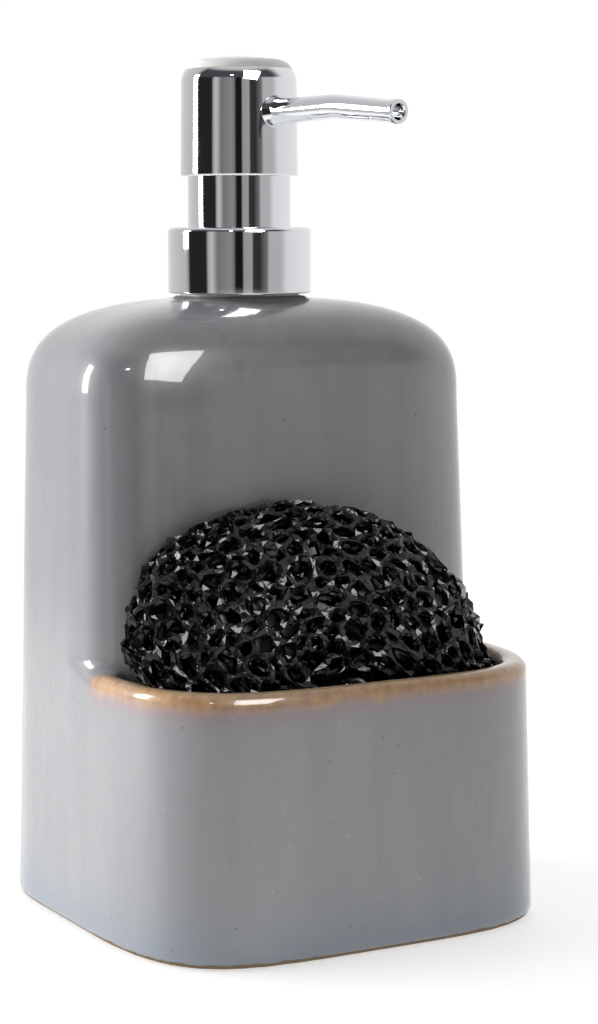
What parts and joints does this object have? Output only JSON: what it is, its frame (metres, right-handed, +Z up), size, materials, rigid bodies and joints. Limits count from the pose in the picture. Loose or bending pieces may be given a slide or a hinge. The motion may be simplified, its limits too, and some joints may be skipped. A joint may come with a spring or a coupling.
{
  "type": "detergent dispenser bottle",
  "caption": "Glazed ceramic detergent dispenser bottle with a chromed press pump, a swivelling spout and a front tray holding a mesh scourer.",
  "frame": {"origin": "centre of the base's outline, on the surface the bottle stands on", "axes": "+Z up along the pump axis, -Y towards the tray, +X to the right when facing the tray from the rear"},
  "size_m": [0.0982, 0.0928, 0.1856],
  "materials": {
    "glaze": "gloss reactive glaze",
    "chrome": "polished chrome plate",
    "white_plastic": "moulded polypropylene",
    "tube_plastic": "translucent polyethylene",
    "soft_seal": "matt elastomer",
    "spring_steel": "drawn stainless wire",
    "ball_steel": "ground stainless",
    "scourer_black": "glossy knitted plastic strip"
  },
  "bodies": {
    "bottle": {"ceramic_body": "glaze", "neck_insert": "white_plastic"},
    "pump_unit": {"neck_washer": "soft_seal", "pump_barrel": "white_plastic", "guide_bushing": "white_plastic", "guide_sleeve": "chrome", "dip_tube": "tube_plastic", "ball_cage": "white_plastic"},
    "inlet_valve": {"inlet_ball": "ball_steel"},
    "collar": {"collar_shell": "chrome", "collar_nut": "white_plastic"},
    "plunger": {"stem": "white_plastic", "piston_seal": "soft_seal", "piston_clip": "white_plastic", "return_spring": "spring_steel"},
    "outlet_valve": {"outlet_ball": "ball_steel"},
    "head": {"head_core": "white_plastic", "head_shell": "chrome", "spout_tube": "chrome"},
    "scourer": {"scourer_pad": "scourer_black", "scourer_tie": "scourer_black"}
  },
  "joints": [
    {"name": "pump_lift_out", "type": "slide", "parent": "bottle", "child": "pump_unit", "axis": [0, 0, 1], "range_m": [0, 0.13]},
    {"name": "collar_turn", "type": "hinge", "parent": "pump_unit", "child": "collar", "pos_m": [0, 0.0169, 0.141], "axis": [0, 0, 1], "range_deg": [0, 540]},
    {"name": "head_press", "type": "slide", "parent": "pump_unit", "child": "plunger", "axis": [0, 0, -1], "range_m": [0, 0.008], "stiffness_N_per_m": 700, "springref_m": -0.008, "deforming": ["return_spring"]},
    {"name": "head_swivel", "type": "hinge", "parent": "plunger", "child": "head", "pos_m": [0, 0.0169, 0.17], "axis": [0, 0, 1], "continuous": true},
    {"name": "inlet_ball_lift", "type": "slide", "parent": "pump_unit", "child": "inlet_valve", "axis": [0, 0, 1], "range_m": [0, 0.0012]},
    {"name": "outlet_ball_lift", "type": "slide", "parent": "plunger", "child": "outlet_valve", "axis": [0, 0, 1], "range_m": [0, 0.0012]},
    {"name": "scourer_lift", "type": "slide", "parent": "bottle", "child": "scourer", "axis": [0, 0, 1], "range_m": [0, 0.06]}
  ]
}
